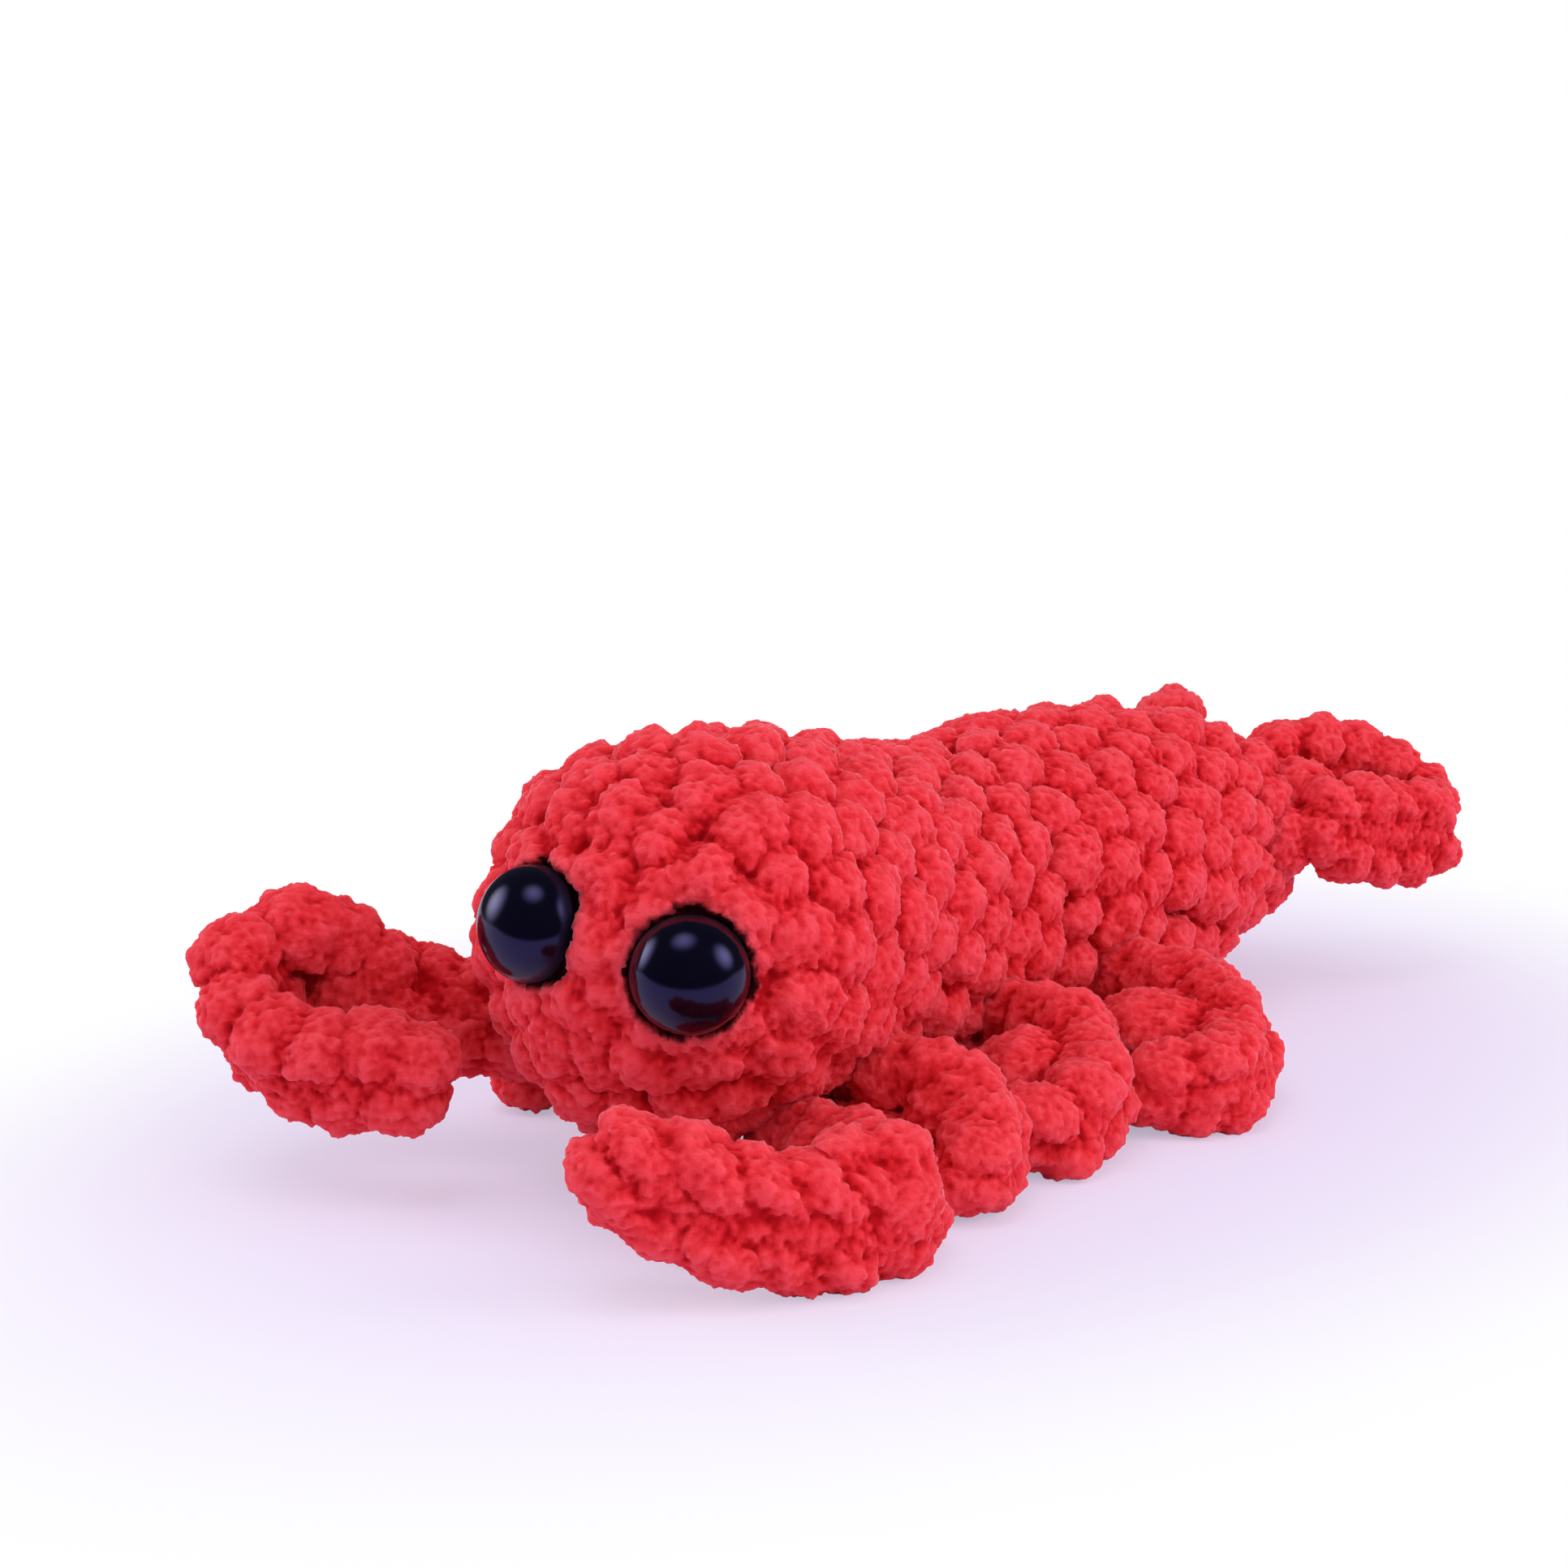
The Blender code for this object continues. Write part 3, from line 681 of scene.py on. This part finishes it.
yarn_pieces.append(make_strip("stitched_claw_left", "claw_left", 0.0, 1.0, CLAW_LEFT_LINE,
                              CLAW_LEFT_FACES, CLAW_BREADTH, CLAW_THICKNESS, pitch=6.2,
                              slant=2.6, filling=CLAW_LEFT_FILLING))
yarn_pieces.append(make_strip("stitched_claw_right", "claw_right", 0.0, -1.0, CLAW_RIGHT_LINE,
                              CLAW_RIGHT_FACES, CLAW_BREADTH, CLAW_THICKNESS,
                              filling=CLAW_RIGHT_FILLING))

# %% [markdown]
# ## Tail fins
#
# A fin is a strip folded to a flat loop, pinched where it folds. Only the right fin's
# top edge is in the picture. It is the left one mirrored, and splayed and raised.

# %% Tail fins
FIN_BREADTH = 15.0
FIN_THICKNESS = 8.5
FIN_SLANT = 1.2
FIN_WAIST = 0.26
RIGHT_FIN_SPLAY = 22.0
RIGHT_FIN_LIFT = 2.5
FIN_FILLING = [
    ((11.5, 8.5, 25.5), (5.5, 7.0, 6.5)),
    ((12.5, 2.0, 21.5), (5.5, 6.0, 5.5)),
]
FIN_LINE = [
    (3.0, 4.0, 28.0),
    (7.0, 14.0, 29.0),
    (11.5, 25.0, 27.5),
    (17.5, 29.5, 23.5),
    (22.0, 24.5, 21.0),
    (20.5, 17.0, 21.5),
    (18.5, 9.0, 22.5),
    (16.0, 2.5, 24.5),
]
FIN_FACES = [
    (-1.0, 0.2, 0.1),
    (-1.0, 0.4, 0.1),
    (-0.7, 0.7, 0.2),
    (0.2, 1.0, 0.0),
    (1.0, 0.3, 0.0),
    (1.0, -0.2, 0.0),
    (1.0, -0.3, 0.0),
    (1.0, -0.4, 0.0),
]


def splayed(parts, angle, lift):
    """Turn (out, back, up) parts outwards about the tail, and raise them."""
    cosine = math.cos(math.radians(angle))
    sine = math.sin(math.radians(angle))
    return [(out * cosine + behind * sine, behind * cosine - out * sine, up + lift)
            for out, behind, up in parts]


yarn_pieces.append(make_strip("stitched_fin_left", "tail_fin_left", BODY_SPAN, 1.0, FIN_LINE,
                              FIN_FACES, FIN_BREADTH, FIN_THICKNESS, slant=FIN_SLANT,
                              waist=FIN_WAIST, filling=FIN_FILLING))
yarn_pieces.append(make_strip("stitched_fin_right", "tail_fin_right", BODY_SPAN, -1.0,
                              splayed(FIN_LINE, RIGHT_FIN_SPLAY, RIGHT_FIN_LIFT),
                              splayed(FIN_FACES, RIGHT_FIN_SPLAY, 0.0), FIN_BREADTH, FIN_THICKNESS,
                              slant=FIN_SLANT, waist=FIN_WAIST, filling=FIN_FILLING))

# %% [markdown]
# ## Eyes
#
# A safety eye is a moulded button: a polished dome on a thin rim, which is left matt.
# It takes the place of the plain model's eye, whose ridged stem is hidden in the head
# and is only in the plain model. The washer inside the head stays as it is.

# %% Eyes
DOME_HEIGHT = 5.2
RIM_THICKNESS = 0.7
RIM_LIFT = 0.3
MATT_UP_TO = 2.4


def make_eye(name, node, seat, out):
    """A dome turned from a ball: its lower half is pressed flat into a thin rim."""
    bpy.ops.object.select_all(action="DESELECT")
    bpy.ops.mesh.primitive_uv_sphere_add(segments=96, ring_count=64, radius=1.0)
    piece = bpy.context.active_object
    piece.name = name
    points = np.array([vert.co[:] for vert in piece.data.vertices])
    radius = EYE_DIAMETER / 2.0
    upper = points[:, 2] > 0.0
    points[:, :2] *= radius
    dome = DOME_HEIGHT * points[:, 2]
    rim = RIM_THICKNESS * np.maximum(points[:, 2] * 3.0, -1.0)
    points[:, 2] = np.where(upper, dome, rim) + RIM_THICKNESS + RIM_LIFT
    first = np.cross(UP, out)
    first /= np.linalg.norm(first)
    second = np.cross(out, first)
    placed = seat + points[:, :1] * first + points[:, 1:2] * second + points[:, 2:] * out
    write_points(piece.data, placed)
    add_attribute(piece.data, "rim", np.clip(MATT_UP_TO - points[:, 2], 0.0, 1.0))
    piece.data.shade_smooth()
    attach(piece, "root")
    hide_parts(node)
    return piece


eye_pieces = [make_eye("polished_" + node, node, seat, out) for node, seat, out in EYES]

# %% [markdown]
# ## Materials
#
# Colours are written as seen on screen and turned linear by one function. Patterns
# lie on object coordinates, in metres, or on the points' own attributes.

# %% Helpers for materials


def linear(code):
    """Turn a hex colour as seen on screen into Blender's linear values."""
    parts = [int(code[index:index + 2], 16) / 255.0 for index in (1, 3, 5)]
    values = [part / 12.92 if part <= 0.04045 else ((part + 0.055) / 1.055) ** 2.4 for part in parts]
    return (*values, 1.0)


def new_material(name):
    material = bpy.data.materials.new(name)
    material.use_nodes = True
    return material, material.node_tree, material.node_tree.nodes["Principled BSDF"]


def add_node(tree, kind, settings=None, inputs=None):
    """Add a node, set it up, and link or set its inputs."""
    node = tree.nodes.new(kind)
    for key, value in (settings or {}).items():
        setattr(node, key, value)
    for key, value in (inputs or {}).items():
        if isinstance(value, bpy.types.NodeSocket):
            tree.links.new(value, node.inputs[key])
        else:
            node.inputs[key].default_value = value
    return node


# %% [markdown]
# The yarn's colour holds painted shade and light: it is dark red in its creases, paler
# on its ridges and on the tips of its tufts. Slow blotches come from the dye. Light
# passes a little way into the pile.

# %% Red chenille yarn


def yarn_material():
    """Dyed polyester chenille: matt, with a soft sheen from the tips of its pile, and painted shade and
    highlights in its colour.
    """
    material, tree, shader = new_material("red chenille yarn")
    place = add_node(tree, "ShaderNodeTexCoord").outputs["Object"]
    painted_crease_shade = add_node(tree, "ShaderNodeAttribute", {"attribute_name": "painted_crease_shade"}).outputs["Fac"]
    tuft_and_painted_highlight = add_node(tree, "ShaderNodeAttribute", {"attribute_name": "tuft_and_painted_highlight"}).outputs["Fac"]
    blotch = add_node(tree, "ShaderNodeTexNoise", None, {"Vector": place, "Scale": 220.0, "Detail": 3.0})
    fine = add_node(tree, "ShaderNodeTexNoise", None, {"Vector": place, "Scale": 2600.0, "Detail": 4.0})
    grains = add_node(tree, "ShaderNodeTexVoronoi", {"feature": "SMOOTH_F1"},
                      {"Vector": place, "Scale": 1300.0, "Smoothness": 0.5})
    # Painted shade and highlights: the colour runs from dark red deep in the creases to pale coral on ridges
    # and tufts; the dye blotches vary at random.
    mixed = add_node(tree, "ShaderNodeMath", {"operation": "MULTIPLY_ADD"},
                     {0: tuft_and_painted_highlight, 1: 0.55, 2: painted_crease_shade})
    mixed = add_node(tree, "ShaderNodeMath", {"operation": "MULTIPLY_ADD"},
                     {0: blotch.outputs["Fac"], 1: 0.35, 2: mixed.outputs[0]})
    share = add_node(tree, "ShaderNodeMapRange", None,
                     {"Value": mixed.outputs[0], "From Min": 0.45, "From Max": 1.45})
    ramp = add_node(tree, "ShaderNodeValToRGB", None, {"Fac": share.outputs["Result"]})
    stops = ramp.color_ramp.elements
    stops[0].position = 0.12
    stops[0].color = linear("#b0040e")
    stops[1].position = 0.85
    stops[1].color = linear("#ec4a56")
    for position, colour in ((0.35, "#c8141e"), (0.52, "#df2d38")):
        stops.new(position).color = linear(colour)
    # Painted shade: the yarn deep in an eye's pit turns nearly black.
    pit = add_node(tree, "ShaderNodeAttribute", {"attribute_name": "pit"}).outputs["Fac"]
    colour = add_node(tree, "ShaderNodeMix", {"data_type": "RGBA"},
                      {0: pit, 6: ramp.outputs["Color"], 7: linear("#1c0004")})
    tree.links.new(colour.outputs[2], shader.inputs["Base Color"])
    bump = add_node(tree, "ShaderNodeBump", None,
                    {"Strength": 0.8, "Distance": 0.0004, "Height": grains.outputs["Distance"]})
    bump.invert = True
    fuzzy = add_node(tree, "ShaderNodeBump", None,
                     {"Strength": 0.9, "Distance": 0.0003, "Height": fine.outputs["Fac"],
                      "Normal": bump.outputs["Normal"]})
    tree.links.new(fuzzy.outputs["Normal"], shader.inputs["Normal"])
    shader.inputs["Subsurface Weight"].default_value = 0.9
    shader.inputs["Subsurface Radius"].default_value = (1.0, 0.35, 0.35)
    shader.inputs["Subsurface Scale"].default_value = 0.0022
    shader.inputs["Roughness"].default_value = 0.95
    shader.inputs["Specular IOR Level"].default_value = 0.04
    shader.inputs["Sheen Weight"].default_value = 0.22
    shader.inputs["Sheen Roughness"].default_value = 0.6
    shader.inputs["Sheen Tint"].default_value = linear("#ff5c66")
    return material


# %% [markdown]
# The eyes are black plastic. The pieces inside the toy are seen only when it is taken
# apart, and get materials of their own too.

# %% Eye plastic, fibre and washer plastic


def eye_material():
    """Polished injection-moulded polypropylene, black with a trace of blue."""
    material, tree, shader = new_material("black eye plastic")
    shader.inputs["Base Color"].default_value = linear("#07060f")
    rim = add_node(tree, "ShaderNodeAttribute", {"attribute_name": "rim"}).outputs["Fac"]
    polish = add_node(tree, "ShaderNodeMapRange", None, {"Value": rim, "To Min": 0.14, "To Max": 0.75})
    tree.links.new(polish.outputs["Result"], shader.inputs["Roughness"])
    shader.inputs["IOR"].default_value = 1.56
    shader.inputs["Specular Tint"].default_value = linear("#a8a0ff")
    return material


def fibre_material():
    """Crimped polyester fibre: white, matt and clumped."""
    material, tree, shader = new_material("white polyester fibre")
    place = add_node(tree, "ShaderNodeTexCoord").outputs["Object"]
    clumps = add_node(tree, "ShaderNodeTexNoise", None,
                      {"Vector": place, "Scale": 260.0, "Detail": 6.0, "Distortion": 1.5})
    ramp = add_node(tree, "ShaderNodeValToRGB", None, {"Fac": clumps.outputs["Fac"]})
    ramp.color_ramp.elements[0].position = 0.3
    ramp.color_ramp.elements[0].color = linear("#cfcfca")
    ramp.color_ramp.elements[1].position = 0.7
    ramp.color_ramp.elements[1].color = linear("#f2f2ee")
    tree.links.new(ramp.outputs["Color"], shader.inputs["Base Color"])
    bump = add_node(tree, "ShaderNodeBump", None,
                    {"Strength": 0.8, "Distance": 0.001, "Height": clumps.outputs["Fac"]})
    tree.links.new(bump.outputs["Normal"], shader.inputs["Normal"])
    shader.inputs["Roughness"].default_value = 0.95
    shader.inputs["Sheen Weight"].default_value = 0.2
    return material


def washer_material():
    """Moulded polyethylene: milky white, half gloss, with faint flow marks."""
    material, tree, shader = new_material("white washer plastic")
    place = add_node(tree, "ShaderNodeTexCoord").outputs["Object"]
    marks = add_node(tree, "ShaderNodeTexNoise", None, {"Vector": place, "Scale": 900.0, "Detail": 3.0})
    ramp = add_node(tree, "ShaderNodeValToRGB", None, {"Fac": marks.outputs["Fac"]})
    ramp.color_ramp.elements[0].color = linear("#dddcd6")
    ramp.color_ramp.elements[1].color = linear("#ebeae5")
    tree.links.new(ramp.outputs["Color"], shader.inputs["Base Color"])
    gloss = add_node(tree, "ShaderNodeMapRange", None,
                     {"Value": marks.outputs["Fac"], "To Min": 0.35, "To Max": 0.55})
    tree.links.new(gloss.outputs["Result"], shader.inputs["Roughness"])
    return material


# %% Give each piece its material
yarn = yarn_material()
for piece in yarn_pieces:
    piece.data.materials.clear()
    piece.data.materials.append(yarn)
plastic = eye_material()
for piece in eye_pieces:
    piece.data.materials.clear()
    piece.data.materials.append(plastic)
fibre = fibre_material()
washer_plastic = washer_material()
for node, material, slot_name in (("stuffing", fibre, "polyester_fibre"),
                                  ("eye_washer_left", washer_plastic, "white_washer_plastic"),
                                  ("eye_washer_right", washer_plastic, "white_washer_plastic")):
    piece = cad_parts[node]
    piece.data.materials.clear()
    piece.data.materials.append(material)

# %% [markdown]
# ## Floor
#
# The toy lies on pale paper that fades to plain white away from it. In the eyes, the
# paper ends a little way in front of the toy, where the dark room begins.

# %% Floor
AZIMUTH = math.radians(35.0)
TILT = math.radians(9.3)
camera_right = np.array([math.cos(AZIMUTH), math.sin(AZIMUTH), 0.0])
camera_back = np.array([math.sin(AZIMUTH), -math.cos(AZIMUTH), 0.0])
PAPER = "#efe5ff"

bpy.ops.mesh.primitive_plane_add(size=6.0)
floor = bpy.context.active_object
floor.name = "floor"
floor_material, floor_tree, floor_shader = new_material("pale studio paper")
floor_shader.inputs["Base Color"].default_value = linear(PAPER)
floor_shader.inputs["Roughness"].default_value = 0.9
floor.data.materials.append(floor_material)
floor_place = add_node(floor_tree, "ShaderNodeTexCoord").outputs["Object"]
floor_scaled = add_node(floor_tree, "ShaderNodeVectorMath", {"operation": "MULTIPLY"},
                        {0: floor_place, 1: (1.5, 1.0, 1.0)})
floor_far = add_node(floor_tree, "ShaderNodeVectorMath", {"operation": "LENGTH"},
                     {0: floor_scaled.outputs[0]})
floor_fade = add_node(floor_tree, "ShaderNodeMapRange", {"interpolation_type": "SMOOTHSTEP"},
                      {"Value": floor_far.outputs["Value"], "From Min": 0.07, "From Max": 0.165})
floor_near = add_node(floor_tree, "ShaderNodeMapRange", None,
                      {"Value": floor_fade.outputs["Result"], "To Min": 0.5, "To Max": 1.0})
floor_tint = add_node(floor_tree, "ShaderNodeMix", {"data_type": "RGBA"},
                      {0: floor_fade.outputs["Result"], 6: linear(PAPER), 7: (1.0, 1.0, 1.0, 1.0)})
floor_seen = add_node(floor_tree, "ShaderNodeLightPath").outputs["Is Camera Ray"]
floor_mix = add_node(floor_tree, "ShaderNodeMath", {"operation": "MULTIPLY"},
                     {0: floor_near.outputs["Result"], 1: floor_seen})
floor_white = add_node(floor_tree, "ShaderNodeEmission", None, {"Color": floor_tint.outputs[2]})
floor_both = add_node(floor_tree, "ShaderNodeMixShader", None,
                      {0: floor_mix.outputs[0], 1: floor_shader.outputs[0], 2: floor_white.outputs[0]})
floor_ahead = add_node(floor_tree, "ShaderNodeVectorMath", {"operation": "DOT_PRODUCT"},
                       {0: floor_place, 1: camera_back.tolist()})
floor_edge = add_node(floor_tree, "ShaderNodeMapRange", None,
                      {"Value": floor_ahead.outputs["Value"], "From Min": 0.155, "From Max": 0.175})
floor_mirrored = add_node(floor_tree, "ShaderNodeLightPath").outputs["Is Glossy Ray"]
floor_cut = add_node(floor_tree, "ShaderNodeMath", {"operation": "MULTIPLY"},
                     {0: floor_edge.outputs["Result"], 1: floor_mirrored})
floor_dark = add_node(floor_tree, "ShaderNodeEmission", None, {"Color": (0.03, 0.03, 0.06, 1.0)})
floor_all = add_node(floor_tree, "ShaderNodeMixShader", None,
                     {0: floor_cut.outputs[0], 1: floor_both.outputs[0], 2: floor_dark.outputs[0]})
floor_tree.links.new(floor_all.outputs[0], floor_tree.nodes["Material Output"].inputs["Surface"])

# %% [markdown]
# ## Room
#
# The background is white to the camera, dim to the eyes' polish, and a soft even
# light to everything else.

# %% Room
world = bpy.data.worlds.new("studio")
bpy.context.scene.world = world
world.use_nodes = True
backdrop = world.node_tree.nodes["Background"]
backdrop.inputs["Color"].default_value = (1.0, 1.0, 1.0, 1.0)
backdrop.inputs["Strength"].default_value = 0.55
rays = add_node(world.node_tree, "ShaderNodeLightPath")
camera_rays = rays.outputs["Is Camera Ray"]
dim = add_node(world.node_tree, "ShaderNodeBackground", None,
               {"Color": (0.6, 0.6, 1.0, 1.0), "Strength": 0.08})
reflected = add_node(world.node_tree, "ShaderNodeMixShader", None,
                     {0: rays.outputs["Is Glossy Ray"], 1: backdrop.outputs[0], 2: dim.outputs[0]})
white = add_node(world.node_tree, "ShaderNodeBackground", None,
                 {"Color": (1.0, 1.0, 1.0, 1.0), "Strength": 1.0})
either = add_node(world.node_tree, "ShaderNodeMixShader", None,
                  {0: camera_rays, 1: reflected.outputs[0], 2: white.outputs[0]})
world.node_tree.links.new(either.outputs[0], world.node_tree.nodes["World Output"].inputs["Surface"])


# %% [markdown]
# ## Softboxes
#
# Two softboxes stand left and right of the toy and one above it. A fourth fills the
# front and isn't seen in the eyes.

# %% Softboxes


def add_softbox(name, location, target, size, power):
    """A lamp behind a cloth, so brightest in the middle and dim at its edges."""
    light = bpy.data.lights.new(name, "AREA")
    light.shape = "RECTANGLE"
    light.size = size[0]
    light.size_y = size[1]
    light.energy = power
    light.use_nodes = True
    tree = light.node_tree
    across = add_node(tree, "ShaderNodeNewGeometry").outputs["Parametric"]
    middle = add_node(tree, "ShaderNodeVectorMath", {"operation": "SUBTRACT"},
                      {0: across, 1: (0.5, 0.5, 0.0)})
    level = add_node(tree, "ShaderNodeVectorMath", {"operation": "MULTIPLY"},
                    {0: middle.outputs[0], 1: (1.0, 1.0, 0.0)})
    away = add_node(tree, "ShaderNodeVectorMath", {"operation": "LENGTH"}, {0: level.outputs[0]})
    glow = add_node(tree, "ShaderNodeMapRange", {"interpolation_type": "SMOOTHSTEP"},
                    {"Value": away.outputs["Value"], "From Min": 0.0, "From Max": 0.5,
                     "To Min": 3.5, "To Max": 0.0})
    tree.links.new(glow.outputs["Result"], tree.nodes["Emission"].inputs["Strength"])
    lamp = bpy.data.objects.new(name, light)
    bpy.context.collection.objects.link(lamp)
    offset = np.array(target) - np.array(location)
    ground = math.hypot(offset[0], offset[1])
    lamp.location = location
    heading = math.atan2(offset[1], offset[0])
    lamp.rotation_euler = (math.atan2(ground, -offset[2]), 0.0, heading - math.pi / 2.0)
    return lamp


TOY = np.array([0.0, 0.0, 0.02])
left_place = TOY - camera_right * 0.75 - camera_back * 0.12 + UP * 0.3
right_place = TOY + camera_right * 0.75 + camera_back * 0.25 + UP * 0.42
top_place = TOY - camera_right * 0.15 + camera_back * 0.35 + UP * 0.85
fill_place = TOY + camera_right * 0.3 + camera_back * 0.7 + UP * 0.4
add_softbox("left softbox", left_place, TOY, (0.75, 0.75), 2.5)
add_softbox("right softbox", right_place, TOY, (0.8, 0.8), 2.8)
add_softbox("top softbox", top_place, TOY, (0.8, 0.8), 1.95)
fill = add_softbox("front fill", fill_place, TOY, (0.9, 0.9), 1.9)
fill.visible_glossy = False

# %% [markdown]
# ## Camera
#
# The camera stands low in front of the toy, a little to its left side. Its place is
# counted from the floor point under the head, in metres.

# %% Camera
CAMERA_OFFSET = (0.1774, -0.2352)
CAMERA_HEIGHT = 0.092
LENS = 65.2

camera_data = bpy.data.cameras.new("camera")
camera = bpy.data.objects.new("camera", camera_data)
bpy.context.collection.objects.link(camera)
camera_data.sensor_width = 36.0
camera_data.lens = LENS
camera_data.clip_start = 0.01
head_x, head_y = HEAD_CENTRE * MM
camera.location = (head_x + CAMERA_OFFSET[0], head_y + CAMERA_OFFSET[1], CAMERA_HEIGHT)
camera.rotation_euler = (math.pi / 2.0 - TILT, 0.0, AZIMUTH)
bpy.context.scene.camera = camera
bpy.context.scene.view_settings.view_transform = "Standard"
